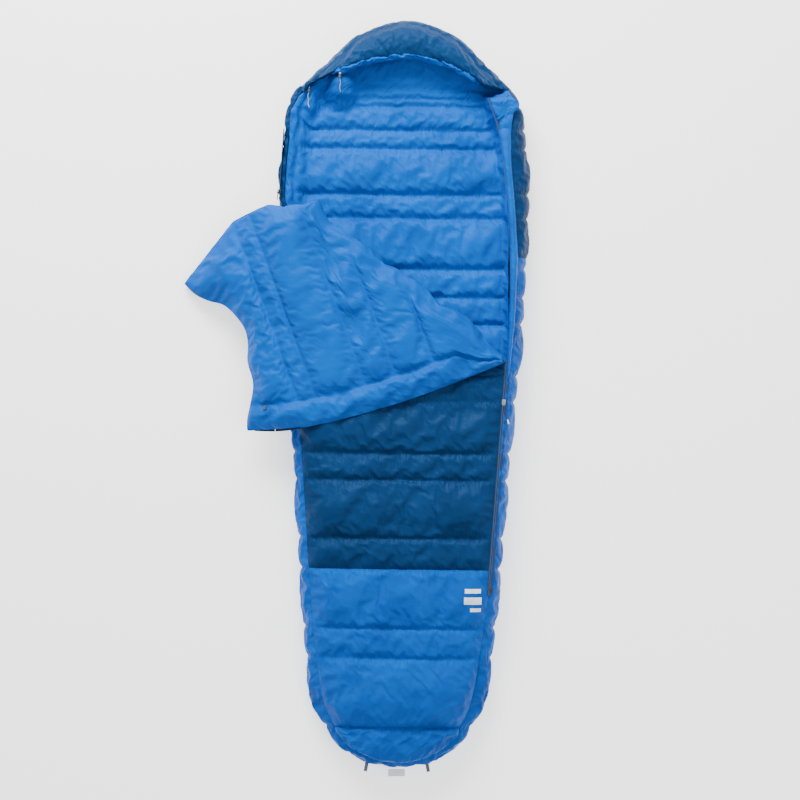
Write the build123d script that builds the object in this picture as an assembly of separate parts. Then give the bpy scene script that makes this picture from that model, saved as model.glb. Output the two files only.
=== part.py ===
from build123d import *
import os
from math import atan2, cos, degrees, hypot, radians, sin, tan

# Mummy sleeping bag, laid flat on its back with its top panel unzipped and folded over.
# Millimetres. X is across the bag, +Y points to the hood, +Z is up, and z = 0 is the ground.
# The origin is the middle of the underside, half way between the foot end and the hood's end.

# ---- Plan outline -------------------------------------------------------------------------
# Half of the outline, from the middle of the foot round to the middle of the hood.
HALF_OUTLINE = [
    (0, -1025), (79, -1011), (151, -970), (197, -915), (234, -833), (258, -669), (286, -285),
    (301, -99), (325, 181), (340, 520), (333, 674), (316, 800), (267, 863), (196, 930),
    (123, 989), (0, 1025),
]
FAR = 1500                      # reaches past the bag in every direction

# ---- Layers -------------------------------------------------------------------------------
SHEET = 1.0                     # drawn thickness of a fabric layer
GAP = 0.5                       # clearance between a layer and the down beside it
BACK_DOWN_TOP = 23.5
BACK_LINING_TOP = BACK_DOWN_TOP + GAP + SHEET
TOP_LINING_LOW = 84.0
TOP_SHELL_TOP = 106.5
OPEN_SIDE_TOP = 76.0            # height of the left side beside the opened arm zip
FOLD_Z = TOP_SHELL_TOP + GAP    # height of the line that the top panel folds over
COLLAR_DEPTH = 11.5             # padded collar under the flap's neck edge

# ---- Sewn-through chambers ----------------------------------------------------------------
BACK_SEAMS = [-909, -718, -635, -474, -389, -230, -156, -14, 58, 200, 274, 353, 490, 557, 682, 734]
TOP_SEAMS = [-909, -718, -635, -474, -389, -230, -156, -14, 58, 200, 284, 394, 480, 625, 672]
SEAM_HALF = 1.2                 # half of the slot between two chambers
BAFFLE = 0.8                    # thickness of a baffle wall
COLOUR_CHANGE_Y = -474          # navy torso panel above, blue foot panel below
SHOULDER_Y = 381                # navy shoulder panel above, blue side panel below
SIDE_STRIP = 22                 # width of the side strip that the back wraps up round the left
NECK_Y = 846                    # the hood starts here
HOOD_LIFT = 20                  # degrees that the hood folds up about the neck
HOOD_GAP = 2.0

# ---- Fold of the top panel ----------------------------------------------------------------
FOLD_RIGHT = (280.7, 99.3)
FOLD_LEFT = (-321.5, 513.8)
FOLD_CORNER = 16                # the flap's inner layers stop this far from the fold's right end
WING_X = -346                   # outside the bag's left side, where the flap bends to the ground
WING_DROOP = 20                 # degrees
NECK_EDGE = [(-262, 800), (-222, 830), (-156, 792), (-83, 750), (-20, 739), (60, 764), (118, 770),
             (170, 806), (222, 812)]

# ---- Main zip -----------------------------------------------------------------------------
ZIP_LOW = (243.3, -535)
ZIP_UPPER = [(285.3, 99), (290, 300), (287, 430), (279, 539), (268, 634), (250, 740), (222, 815)]
ZIP_ANGLE = degrees(atan2(ZIP_UPPER[0][0] - ZIP_LOW[0], ZIP_UPPER[0][1] - ZIP_LOW[1]))
COIL_INNER = 0.6
COIL_OUTER = 3.0
TAPE_OUTER = 9.0
COIL_Z = (104.6, 106.8)
TAPE_Z = (105.5, 106.5)
MAIN_SLIDER_Y = -13
LOWER_SLIDER_Y = -520
ZIP_END_Y = -545

# ---- Arm zip on the left ------------------------------------------------------------------
ARM_LOW = (-343.5, 548)
ARM_HIGH = (-333.5, 730)
ARM_SLIDER_Y = 556
ARM_TAPE_Z = (58, 76)
ARM_COIL_LIFT = 3

# ---- Hood ---------------------------------------------------------------------------------
RIM = [(-285, 858), (-222, 873), (-137, 909), (-43, 927), (52, 924), (145, 896), (206, 860),
       (285, 849)]
HEM_WIDTH = 12
HEM_Z = (97.0, 106.5)

# ---- Cords --------------------------------------------------------------------------------
PULL_CORD = 2.4
LOCK_CORD = 2.4
DRAWCORD = 3.0
MAIN_PULL_ROUTE = [(277.0, -22.6, 109.9), (279.5, -35, 109.6), (285, -47.5, 109.4), (288.3, -60.3, 109.4)]
MAIN_TIP = (291.8, -73.2, 109.4)
TIP_GAP = 0.2
COLLAR_CORD_ROUTE = [(-266, 830.2, 80.6), (-269.5, 820.5, 78.6), (-266, 809.5, 77.6), (-268.5, 799, 77.6),
                     (-264.5, 789.5, 77.6)]
HOOD_CORD_ROUTE = [(-180.5, 866.4, 101), (-178, 855.5, 98.5), (-181.5, 844.5, 94.5), (-179, 832, 89.5)]


# ---- Plane figures ------------------------------------------------------------------------
def outline(inset):
    """The bag's outline, moved in by inset along its own normals."""
    loop = HALF_OUTLINE + [(-x, y) for x, y in reversed(HALF_OUTLINE[1:-1])]
    points = []
    for index, (x, y) in enumerate(loop):
        x_before, y_before = loop[index - 1]
        x_after, y_after = loop[(index + 1) % len(loop)]
        run = hypot(x_after - x_before, y_after - y_before)
        points.append((x - inset * (y_after - y_before) / run, y + inset * (x_after - x_before) / run))
    return make_face(Spline(*points, periodic=True))


def ring(outer, inner):
    return outline(outer) - outline(inner)


def field(x_low, x_high, y_low, y_high):
    """A rectangle between two X and two Y values."""
    centre = Pos((x_low + x_high) / 2, (y_low + y_high) / 2)
    return centre * Rectangle(x_high - x_low, y_high - y_low)


def zip_x(y):
    """X of the main zip's straight stretch."""
    return ZIP_LOW[0] + (y - ZIP_LOW[1]) * tan(radians(ZIP_ANGLE))


def zip_edge(shift, y_low):
    """The zip's line, moved sideways, from y_low to the neck."""
    start = (zip_x(y_low) + shift, y_low)
    knee = (ZIP_UPPER[0][0] + shift, ZIP_UPPER[0][1])
    upper = [(x + shift, y) for x, y in ZIP_UPPER]
    return Line(start, knee) + Spline(*upper, tangents=[(knee[0] - start[0], knee[1] - start[1]), (-0.4, 1)])


def zip_band(shift_low, shift_high, y_low=ZIP_LOW[1]):
    """The band between two lines beside the zip."""
    low = zip_edge(shift_low, y_low)
    high = zip_edge(shift_high, y_low)
    return make_face(low + Line(low @ 1, high @ 1) + high + Line(high @ 0, low @ 0))


def beside_zip(shift, side, y_low):
    """Everything on one side of a line beside the zip: side is 1 for the right, -1 for the left."""
    edge = zip_edge(shift, y_low)
    start = edge @ 0
    end = edge @ 1
    past = [(end.X, FAR), (side * FAR, FAR), (side * FAR, y_low), (start.X, y_low)]
    return make_face(edge + Polyline((end.X, end.Y), *past))


def beyond_fold(clearance, side):
    """Half plane past the fold line: side is 1 towards the hood, -1 towards the foot."""
    angle = degrees(atan2(FOLD_RIGHT[1] - FOLD_LEFT[1], FOLD_RIGHT[0] - FOLD_LEFT[0]))
    row = Align.MIN if side > 0 else Align.MAX
    half = Rectangle(2 * FAR, 2 * FAR, align=(Align.CENTER, row))
    return Location((*FOLD_RIGHT, 0), (0, 0, angle)) * Pos(0, side * clearance) * half


def below_neck(drop):
    """Everything on the foot's side of the flap's neck edge."""
    points = [(x, y - drop) for x, y in NECK_EDGE]
    left = points[0]
    right = points[-1]
    around = [right, (FAR, right[1]), (FAR, -FAR), (-FAR, -FAR), (-FAR, 700 - drop), left]
    return make_face(Spline(*points) + Polyline(*around))


def above_rim(rise):
    """Everything on the far side of the hood's rim."""
    points = [(x, y + rise) for x, y in RIM]
    left = points[0]
    right = points[-1]
    return make_face(Spline(*points) + Polyline(right, (FAR, right[1]), (FAR, FAR), (-FAR, FAR),
                                                (-FAR, left[1]), left))


# ---- Solids -------------------------------------------------------------------------------
def prism(figure, z_low, z_high):
    return extrude(Pos(0, 0, z_low) * figure, amount=z_high - z_low, dir=(0, 0, 1))


def block(x_low, x_high, y_low, y_high, z_low, z_high):
    return prism(field(x_low, x_high, y_low, y_high), z_low, z_high)


def chambers(figure, seams, z_low, z_high):
    """The figure cut into one solid for each chamber between two seams."""
    edges = [-FAR, *seams, FAR]
    solids = []
    for low, high in zip(edges, edges[1:]):
        cell = figure & field(-FAR, FAR, low + SEAM_HALF, high - SEAM_HALF)
        if cell and cell.area > 1:
            solids += prism(cell, z_low, z_high).solids()
    return solids


def baffles(figure, seams, z_low, z_high):
    """One thin wall on each seam."""
    solids = []
    for seam in seams:
        wall = figure & field(-FAR, FAR, seam - BAFFLE / 2, seam + BAFFLE / 2)
        if wall and wall.area > 1:
            solids += prism(wall, z_low, z_high).solids()
    return solids


def cord(route, diameter):
    """A tube of straight runs joined by arcs as large as the runs allow."""
    radii = []
    for before, corner, after in zip(route, route[1:], route[2:]):
        run_in = Vector(*corner) - Vector(*before)
        run_out = Vector(*after) - Vector(*corner)
        turn = radians(run_in.get_angle(run_out))
        radii.append(0.45 * min(run_in.length, run_out.length) / tan(turn / 2))
    path = FilletPolyline(*route, radius=radii)
    tube = sweep(Plane(path @ 0, z_dir=path % 0) * Circle(diameter / 2), path=path)
    share = tube.volume / (path.length * 3.14159 * diameter ** 2 / 4)
    print("cord", round(path.length, 1), "mm, radii", [round(r, 1) for r in radii], "share", round(share, 4))
    return tube


def save(name, *shapes):
    """Write one node: every solid of the given shapes."""
    solids = []
    for shape in shapes:
        solids += shape if isinstance(shape, list) else shape.solids()
    export_step(Compound(solids), f"parts/{name}.step")


# ---- Zip pieces, made at the origin with the chain along Y at z = 0 (the coil's mid height) ----
SLIDER_HALF = 7.0
PIN_Z = 4.2                     # the pull's pin, between the slider's top plate and its bail


def slider(post_side):
    """Two plates on a thin post, which stands towards post_side, with lips over the tapes."""
    top = Pos(0, 0, 2.5) * Box(10, 2 * SLIDER_HALF, 1.2)
    bottom = Pos(0, 0, -2.7) * Box(10, 2 * SLIDER_HALF, 1.4)
    body = fillet((top + bottom).edges().filter_by(Axis.Z), 2.4)
    body += Pos(0, post_side * 4.5) * Box(1.0, 3.6, 5.4)
    for side in (-1, 1):
        body += Pos(side * 4.3, 0, 1.55) * Box(1.2, 8, 0.7)
        body += Pos(side * 4.3, 0, -1.5) * Box(1.2, 8, 1.0)
    for end in (-1, 1):
        body += Pos(0, end * 4.2, 4.5) * Box(1.6, 1.6, 3.2)
    body += Pos(0, 0, 6.5) * Box(1.6, 10, 1.2)
    return body


def yoke(reach):
    """The eye of a pull: a pin under the bail, two arms and a cross bar."""
    pin = Rot(0, 90, 0) * Cylinder(0.9, 6.6)
    eye = Pos(0, 0, PIN_Z) * pin
    for side in (-1, 1):
        eye += Pos(side * 2.7, -reach / 2, PIN_Z) * Box(1.2, reach, 1.8)
    eye += Pos(0, 1 - reach, PIN_Z) * Box(6.6, 2, 1.8)
    return eye


def pull_tab(reach, length):
    """A yoke with a flat moulded tab."""
    tab = Pos(0, -reach - length / 2, PIN_Z) * Box(5.4, length, 1.8)
    tab = fillet(tab.edges().filter_by(Axis.Z), 1.6)
    hole = Pos(0, -reach - length + 4, PIN_Z) * Cylinder(1.2, 6)
    return yoke(reach) + tab - hole


def on_zip(y):
    """Place and direction of the chain at y."""
    return Location((zip_x(y), y, sum(COIL_Z) / 2), (0, 0, -ZIP_ANGLE))


LOCK_RADIUS = 4.0
LOCK_LENGTH = 12.0
LOCK_BORE = 3.0
SPRING_END = 6.5


def lock_barrel():
    """A cord lock's barrel along Y, closed at y = 0, with a blind bore for its button."""
    barrel = Rot(-90, 0, 0) * Cylinder(LOCK_RADIUS, LOCK_LENGTH, align=(Align.CENTER, Align.CENTER, Align.MIN))
    barrel = fillet(barrel.edges().sort_by(Axis.Y)[0], 1.2)
    bore = Pos(0, 1.2, 0) * Rot(-90, 0, 0) * Cylinder(LOCK_BORE, LOCK_LENGTH,
                                                      align=(Align.CENTER, Align.CENTER, Align.MIN))
    return barrel - bore


def lock_button():
    button = Rot(-90, 0, 0) * Cylinder(LOCK_BORE - 0.2, 9.5, align=(Align.CENTER, Align.CENTER, Align.MIN))
    button = Pos(0, SPRING_END + 0.1, 0) * button
    return fillet(button.edges().sort_by(Axis.Y)[-1], 0.8)


def lock_spring():
    """The return spring, as the tube that its turns fill."""
    long = SPRING_END - 1.3
    turns = Rot(-90, 0, 0) * Cylinder(2.4, long, align=(Align.CENTER, Align.CENTER, Align.MIN))
    core = Rot(-90, 0, 0) * Cylinder(1.8, long, align=(Align.CENTER, Align.CENTER, Align.MIN))
    return Pos(0, 1.3, 0) * (turns - core)


# ---- Regions of the plan ------------------------------------------------------------------
below_hood = field(-FAR, FAR, -FAR, NECK_Y - GAP)
hood_side = field(-FAR, FAR, NECK_Y + HOOD_GAP, FAR)
left_half = field(-FAR, 0, -FAR, FAR)
right_strip_zone = beside_zip(TAPE_OUTER, 1, ZIP_END_Y + 1)
zip_zone = beside_zip(-TAPE_OUTER, 1, ZIP_END_Y)
arm_end_y = FOLD_LEFT[1] - 12       # the left side is full height up to here
left_strip_zone = field(-FAR, 0, COLOUR_CHANGE_Y, arm_end_y)
open_side_zone = field(-FAR, 0, arm_end_y + 1, NECK_Y - GAP)
foot_zone = field(-FAR, 0, -FAR, COLOUR_CHANGE_Y - 1) + field(0, FAR, -FAR, ZIP_END_Y)

back_area = outline(1.5) & below_hood
hood_area = outline(1.5) & hood_side
top_area = (outline(1.5) & below_hood) - zip_zone
strip_cut = (outline(-5) - outline(SIDE_STRIP + 1)) & left_strip_zone
fixed_area = (top_area - strip_cut) & beyond_fold(1.0, -1)
flap_area = (outline(2.5) - zip_zone) & beyond_fold(1.0, 1) & below_neck(0)
collar_area = (outline(40) - beside_zip(-40, 1, ZIP_END_Y)) & below_neck(12) & field(-FAR, 120, 684, FAR)

os.makedirs("parts", exist_ok=True)

# ---- Back, lying on the ground -------------------------------------------------------------
save("back_shell", prism(outline(0) & below_hood, 0, SHEET))
save("back_down", chambers(outline(2) & below_hood, BACK_SEAMS, SHEET + GAP, BACK_DOWN_TOP))
save("back_baffles", baffles(outline(2) & below_hood, BACK_SEAMS, SHEET + GAP, BACK_DOWN_TOP))
save("back_lining", prism(back_area, BACK_DOWN_TOP + GAP, BACK_LINING_TOP))
collar_bar = field(-282, 238, 740, 796)
save("back_collar", fillet(prism(collar_bar, BACK_LINING_TOP + GAP, BACK_LINING_TOP + 20).edges(), 8))

# ---- Sides ----------------------------------------------------------------------------------
wall = ring(0, 1) & below_hood
right_wall = wall & field(0, FAR, -FAR, FAR)
left_wall = wall & field(-FAR, 0, -FAR, arm_end_y)
save("right_side_wall", prism(right_wall, SHEET, TOP_SHELL_TOP))
save("left_side_wall", prism(left_wall, SHEET, TOP_SHELL_TOP),
     prism(wall & open_side_zone, SHEET, OPEN_SIDE_TOP))
right_strip = outline(1.2) & below_hood & right_strip_zone
left_strip = ring(1.2, SIDE_STRIP) & left_strip_zone
open_side = ring(1.2, SIDE_STRIP) & open_side_zone
strip_low = TOP_SHELL_TOP - SHEET
save("right_shoulder_shell", prism(right_strip & field(0, FAR, SHOULDER_Y, FAR), strip_low, TOP_SHELL_TOP))
save("right_side_shell", prism(right_strip & field(0, FAR, -FAR, SHOULDER_Y), strip_low, TOP_SHELL_TOP))
save("left_side_shell", prism(left_strip, strip_low, TOP_SHELL_TOP),
     prism(open_side, OPEN_SIDE_TOP - SHEET, OPEN_SIDE_TOP))

lining_ring = ring(SIDE_STRIP - 1, SIDE_STRIP)
right_lining = (zip_band(TAPE_OUTER, TAPE_OUTER + 1, ZIP_END_Y + 2)) & outline(1.5) & below_hood
side_low = BACK_LINING_TOP + GAP
save("side_lining",
     prism(right_lining, side_low, strip_low - GAP),
     prism(lining_ring & left_strip_zone, side_low, strip_low - GAP),
     prism(lining_ring & open_side_zone, side_low, OPEN_SIDE_TOP - SHEET - GAP),
     prism(lining_ring & foot_zone, side_low, TOP_LINING_LOW - GAP))
side_core = ring(1.5, SIDE_STRIP - 1.5)
right_core = outline(1.5) & below_hood & beside_zip(TAPE_OUTER + 1.5, 1, ZIP_END_Y + 1)
save("side_down",
     prism(right_core, side_low, strip_low - GAP),
     prism(side_core & left_strip_zone, side_low, strip_low - GAP),
     prism(side_core & open_side_zone, side_low, OPEN_SIDE_TOP - SHEET - GAP),
     prism(side_core & foot_zone, side_low, TOP_LINING_LOW - GAP))
draft_face = zip_band(-24, 4, -500) & field(0, FAR, -FAR, 800)
save("draft_tube", fillet(prism(draft_face, 50, 70).edges().filter_by(Axis.Z, reverse=True), 6))

# ---- Fixed part of the top panel -----------------------------------------------------------
save("top_lining", prism(fixed_area, TOP_LINING_LOW, TOP_LINING_LOW + SHEET))
down_low = TOP_LINING_LOW + SHEET + GAP
down_high = TOP_SHELL_TOP - SHEET - GAP
save("top_down", chambers(fixed_area, TOP_SEAMS, down_low, down_high))
save("top_baffles", baffles(fixed_area, TOP_SEAMS, down_low, down_high))
save("top_torso_shell", prism(fixed_area & field(-FAR, FAR, COLOUR_CHANGE_Y + 0.5, FAR), strip_low, TOP_SHELL_TOP))
save("top_foot_shell", prism(fixed_area & field(-FAR, FAR, -FAR, COLOUR_CHANGE_Y - 0.5), strip_low, TOP_SHELL_TOP))

# ---- Flap: made closed, in the top panel's plane, then turned over the fold line ------------
fold_axis = Axis((*FOLD_RIGHT, FOLD_Z), (FOLD_LEFT[0] - FOLD_RIGHT[0], FOLD_LEFT[1] - FOLD_RIGHT[1], 0))
wing_axis = Axis((WING_X, 0, FOLD_Z + GAP), (0, 1, 0))
flap_box = block(WING_X + 1, FAR, -FAR, FAR, 0, FAR)
wing_box = block(-FAR, WING_X - 0.2, -FAR, FAR, 0, FAR)


def folded(solids):
    """Solids of the closed flap, turned over to lie on the bag."""
    return [solid.rotate(fold_axis, 180) for solid in solids]


def cut_to(box, solids):
    """The part of some solids that lies in a box."""
    pieces = [solid & box for solid in solids]
    return [solid for piece in pieces if piece for solid in piece.solids()]


def drooped(solids):
    """Solids of the wing, bent down from the flap towards the ground."""
    return [solid.rotate(wing_axis, -WING_DROOP) for solid in solids]


def save_flap(layer, solids):
    turned = folded(solids)
    save("flap_" + layer, cut_to(flap_box, turned))
    save("wing_" + layer, drooped(cut_to(wing_box, turned)))


inner_area = flap_area - Pos(*FOLD_RIGHT) * Circle(FOLD_CORNER)
save_flap("lining", prism(inner_area, TOP_LINING_LOW, TOP_LINING_LOW + SHEET).solids())
save_flap("down", chambers(inner_area, TOP_SEAMS, down_low, down_high))
save_flap("baffles", baffles(inner_area, TOP_SEAMS, down_low, down_high))
save_flap("shell", prism(flap_area, strip_low, TOP_SHELL_TOP).solids())
collar = prism(collar_area, TOP_LINING_LOW - GAP - COLLAR_DEPTH, TOP_LINING_LOW - GAP)
save("wing_collar", drooped(cut_to(wing_box, folded(collar.solids()))))
snap_stud = Pos(175, 752, TOP_LINING_LOW - GAP) * Cylinder(5, 3, align=(Align.CENTER, Align.CENTER, Align.MAX))
save("snap_stud", drooped(folded(snap_stud.solids())))
save("snap_socket", Pos(265, 800, TOP_SHELL_TOP) * Cylinder(5, 2, align=(Align.CENTER, Align.CENTER, Align.MIN)))

# ---- Main zip -------------------------------------------------------------------------------
flap_side = beyond_fold(1.0, 1) & below_neck(0)
bag_tape = zip_band(COIL_OUTER, TAPE_OUTER)
fixed_tape = zip_band(-TAPE_OUTER, -COIL_OUTER) & beyond_fold(1.0, -1)
flap_tape = zip_band(-TAPE_OUTER, -COIL_OUTER) & flap_side
save("zip_tapes", prism(bag_tape, *TAPE_Z), prism(fixed_tape, *TAPE_Z))
bag_coil = zip_band(COIL_INNER, COIL_OUTER)
fixed_coil = zip_band(-COIL_OUTER, -COIL_INNER) & beyond_fold(1.0, -1)
flap_coil = zip_band(-COIL_OUTER, -COIL_INNER) & flap_side
end_stop = Location((*ZIP_LOW, sum(COIL_Z) / 2), (0, 0, -ZIP_ANGLE)) * Pos(0, -3.5) * Box(9, 6, 3)
save("zip_coils", prism(bag_coil, *COIL_Z), prism(fixed_coil, *COIL_Z), end_stop)
zip_half = folded(prism(flap_tape, *TAPE_Z).solids() + prism(flap_coil, *COIL_Z).solids())
save("flap_zip_half", cut_to(flap_box, zip_half))
save("wing_zip_half", drooped(cut_to(wing_box, zip_half)))

main_place = on_zip(MAIN_SLIDER_Y)
lower_place = on_zip(LOWER_SLIDER_Y)
save("main_slider", main_place * slider(1))
save("main_pull_yoke", main_place * yoke(9))
save("main_pull_cord", cord(MAIN_PULL_ROUTE, PULL_CORD))
tip_start = Vector(*MAIN_PULL_ROUTE[-1])
tip_way = (Vector(*MAIN_TIP) - tip_start).normalized()
tip = Cone(1.6, 2.4, 13, align=(Align.CENTER, Align.CENTER, Align.MIN))
save("main_pull_tip", Plane(tip_start + tip_way * TIP_GAP, z_dir=tip_way) * tip)
save("lower_slider", lower_place * slider(-1))
save("lower_pull", lower_place * pull_tab(8, 16))

# ---- Arm zip, on the outside of the left side -------------------------------------------------
arm_angle = degrees(atan2(ARM_HIGH[0] - ARM_LOW[0], ARM_HIGH[1] - ARM_LOW[1]))
arm_length = hypot(ARM_HIGH[0] - ARM_LOW[0], ARM_HIGH[1] - ARM_LOW[1])
arm_frame = Location((*ARM_LOW, ARM_TAPE_Z[1]), (0, 0, -arm_angle)) * Rot(0, -90, 0)


def arm_bar(low, high, thickness):
    """A bar of the arm zip: low and high are heights above the side's top edge."""
    bar = Box(high - low, arm_length, thickness, align=(Align.MIN, Align.MIN, Align.CENTER))
    return arm_frame * Pos(low, 0, 0) * bar


def on_arm_zip(y):
    run = (y - ARM_LOW[1]) / cos(radians(arm_angle))
    return arm_frame * Pos(ARM_COIL_LIFT + COIL_OUTER, run, 0)


save("arm_zip_half", arm_bar(ARM_TAPE_Z[0] - ARM_TAPE_Z[1], ARM_COIL_LIFT, SHEET),
     arm_bar(ARM_COIL_LIFT, ARM_COIL_LIFT + COIL_OUTER - COIL_INNER, COIL_Z[1] - COIL_Z[0]))
save("arm_slider", on_arm_zip(ARM_SLIDER_Y) * slider(1))
save("arm_pull", on_arm_zip(ARM_SLIDER_Y) * pull_tab(8, 14))

# ---- Hood -----------------------------------------------------------------------------------
brow = hood_area & above_rim(HEM_WIDTH + 1)
fold_room = Location((0, NECK_Y + HOOD_GAP, BACK_LINING_TOP), (-HOOD_LIFT, 0, 0))
hood_box = fold_room * Box(2 * FAR, FAR, 2 * FAR, align=(Align.CENTER, Align.MIN, Align.CENTER))
hem_band = (hood_area & above_rim(0)) - above_rim(HEM_WIDTH)
hem_front = hem_band - above_rim(1.2)
hood_wall = prism(ring(0, 1) & hood_side, SHEET, TOP_SHELL_TOP)
save("hood_back_shell", prism(outline(0) & hood_side, 0, SHEET), hood_wall & hood_box)
save("hood_back_down", prism(outline(2) & hood_side, SHEET + GAP, BACK_DOWN_TOP))
save("hood_back_lining", prism(hood_area, BACK_DOWN_TOP + GAP, BACK_LINING_TOP))
save("hood_brow_lining", prism(brow, TOP_LINING_LOW, TOP_LINING_LOW + SHEET) & hood_box)
save("hood_brow_down", prism(brow, down_low, down_high) & hood_box)
save("hood_brow_shell", prism(brow, strip_low, TOP_SHELL_TOP) & hood_box)
hem = prism(hem_front, *HEM_Z)
for hem_low in (HEM_Z[0], HEM_Z[1] - SHEET):
    hem += prism(hem_band, hem_low, hem_low + SHEET)
save("hood_hem", hem & hood_box)
channel_z = sum(HEM_Z) / 2
rim_curve = Spline(*RIM)
stations = [rim_curve @ (step / 16) for step in range(3, 14)]
save("hood_drawcord", cord([(p.X, p.Y + HEM_WIDTH / 2 + 1, channel_z) for p in stations], DRAWCORD))

# ---- Cord locks -----------------------------------------------------------------------------
collar_lock_place = Location((-266, 830.8, 80.6))
hood_lock_place = Location((-180.5, 867, 101))
save("collar_lock_barrel", collar_lock_place * lock_barrel())
save("collar_lock_button", collar_lock_place * lock_button())
save("collar_lock_spring", collar_lock_place * lock_spring())
save("hood_lock_barrel", hood_lock_place * lock_barrel())
save("hood_lock_button", hood_lock_place * lock_button())
save("hood_lock_spring", hood_lock_place * lock_spring())
save("collar_cord_tail", cord(COLLAR_CORD_ROUTE, LOCK_CORD))
save("hood_cord_tail", cord(HOOD_CORD_ROUTE, LOCK_CORD))

# ---- Foot end: hang loops and label -----------------------------------------------------------
LOOP_WIDTH = 9.6
LOOP_LENGTH = 23
LOOP_HEIGHT = 9.6
LOOP_Z = 48
loops = []
for loop_x, splay in ((-85, -10), (81, 10)):
    outer = Box(LOOP_WIDTH, LOOP_LENGTH, LOOP_HEIGHT, align=(Align.CENTER, Align.MAX, Align.CENTER))
    outer = fillet(outer.edges().filter_by(Axis.X).group_by(Axis.Y)[0], LOOP_HEIGHT / 2 - 0.1)
    inner = Box(LOOP_WIDTH + 2, LOOP_LENGTH, LOOP_HEIGHT - 2.4, align=(Align.CENTER, Align.MAX, Align.CENTER))
    inner = fillet(inner.edges().filter_by(Axis.X).group_by(Axis.Y)[0], LOOP_HEIGHT / 2 - 1.3)
    webbing = outer - Pos(0, 1.2, 0) * inner
    base = block(-LOOP_WIDTH / 2, LOOP_WIDTH / 2, -1.2, 0, -LOOP_HEIGHT / 2, LOOP_HEIGHT / 2)
    loops.append(Location((loop_x, -1013, LOOP_Z), (0, 0, splay)) * (webbing + base))
save("hang_loops", *loops)
save("care_label", Location((-3, -1026.5, 60), (-58, 0, 2)) * Box(46, 0.6, 26, align=(Align.CENTER, Align.MAX, Align.MAX)))
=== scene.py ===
import math

import bpy
import numpy as np
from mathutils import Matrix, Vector


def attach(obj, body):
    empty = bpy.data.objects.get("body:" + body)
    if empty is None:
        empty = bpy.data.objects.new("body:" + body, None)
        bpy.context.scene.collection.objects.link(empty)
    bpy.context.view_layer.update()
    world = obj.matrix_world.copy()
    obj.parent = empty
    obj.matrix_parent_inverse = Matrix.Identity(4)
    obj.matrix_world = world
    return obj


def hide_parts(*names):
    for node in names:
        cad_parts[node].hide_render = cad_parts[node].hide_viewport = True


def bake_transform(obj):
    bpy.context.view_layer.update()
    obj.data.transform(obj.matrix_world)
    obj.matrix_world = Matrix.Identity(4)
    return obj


# A mummy sleeping bag laid flat, with its top panel folded over. Metres, +Y to the hood, +Z up.
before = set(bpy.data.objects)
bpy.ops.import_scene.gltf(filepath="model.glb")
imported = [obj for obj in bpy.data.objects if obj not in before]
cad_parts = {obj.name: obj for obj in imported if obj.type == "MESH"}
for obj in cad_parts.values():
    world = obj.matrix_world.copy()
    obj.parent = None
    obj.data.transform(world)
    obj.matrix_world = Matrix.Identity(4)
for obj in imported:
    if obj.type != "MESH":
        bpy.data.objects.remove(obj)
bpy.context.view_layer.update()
random = np.random.default_rng(7)

# ---- Plan of the bag ----------------------------------------------------------------------
HALF_OUTLINE = np.array([
    (0, -1.025), (.079, -1.011), (.151, -.970), (.197, -.915), (.234, -.833), (.258, -.669),
    (.286, -.285), (.301, -.099), (.325, .181), (.340, .520), (.333, .674), (.316, .800),
    (.267, .863), (.196, .930), (.123, .989), (0, 1.025)])
COLOUR_CHANGE_Y = -.474         # the blue foot panel meets the navy torso panel
SHOULDER_Y = .381               # the blue sides meet the navy shoulder panels
NECK_Y = .846                   # the bag meets its hood
BACK_SEAMS = [-.909, -.718, -.635, COLOUR_CHANGE_Y, -.389, -.230, -.156, -.014, .058, .200, .274, .353,
              .490, .557, .682, .734]
TOP_SEAMS = BACK_SEAMS[:9]
ZIP_LOW = (.2433, -.535)
ZIP_KNEE = (.2853, .099)
ZIP_UPPER = np.array([(.2853, .099), (.290, .300), (.287, .430), (.279, .539), (.268, .634), (.250, .740),
                      (.222, .815)])
FOLD_RIGHT = np.array((.2807, .0993))
FOLD_LEFT = np.array((-.3215, .5138))
# The front edge of the hood's brow, from left to right.
RIM = np.array([(-.276, .858), (-.222, .873), (-.184, .891), (-.137, .909), (-.091, .922), (-.043, .928),
                (.005, .930), (.052, .925), (.098, .915), (.145, .896), (.185, .874), (.210, .854),
                (.245, .846), (.282, .848)])
# The flap's neck edge, with the flap closed, from its left tip to its zip corner.
FLAP_NECK = np.array([(-.228, .856), (-.190, .838), (-.158, .808), (-.130, .770), (-.083, .747),
                      (-.044, .738), (-.004, .745), (.038, .762), (.100, .768), (.152, .796),
                      (.183, .816), (.216, .829)])
HIGHEST = .144                  # cloth above this is pressed down under its own weight
PRESSED = .7                    # the share of its height above that line that it loses
GROUND_GAP = .0015              # simulated cloth stays this far above the ground
LOWEST = .0008                  # and this far, with its gathers
STEP = .0085                    # spacing of a cloth's points before subdivision
GATHER_WIDTH = .009             # the gathers beside a seam: their spacing along it
GATHER_LENGTH = .05             # and how long they run out from it


def curve(points, count=400):
    """A smooth curve through some points, sampled evenly along its length."""
    ends = np.vstack([2 * points[0] - points[1], points, 2 * points[-1] - points[-2]])
    fine = []
    for a, b, c, d in zip(ends, ends[1:], ends[2:], ends[3:]):
        t = np.linspace(0, 1, 24, endpoint=False)[:, None]
        fine.append(.5 * (2 * b + (c - a) * t + (2 * a - 5 * b + 4 * c - d) * t ** 2
                          + (3 * b - a - 3 * c + d) * t ** 3))
    fine = np.vstack([*fine, points[-1:]])
    along = np.concatenate([[0], np.cumsum(np.linalg.norm(np.diff(fine, axis=0), axis=1))])
    wanted = np.linspace(0, along[-1], count)
    return np.stack([np.interp(wanted, along, fine[:, k]) for k in range(fine.shape[1])], axis=1)


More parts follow.
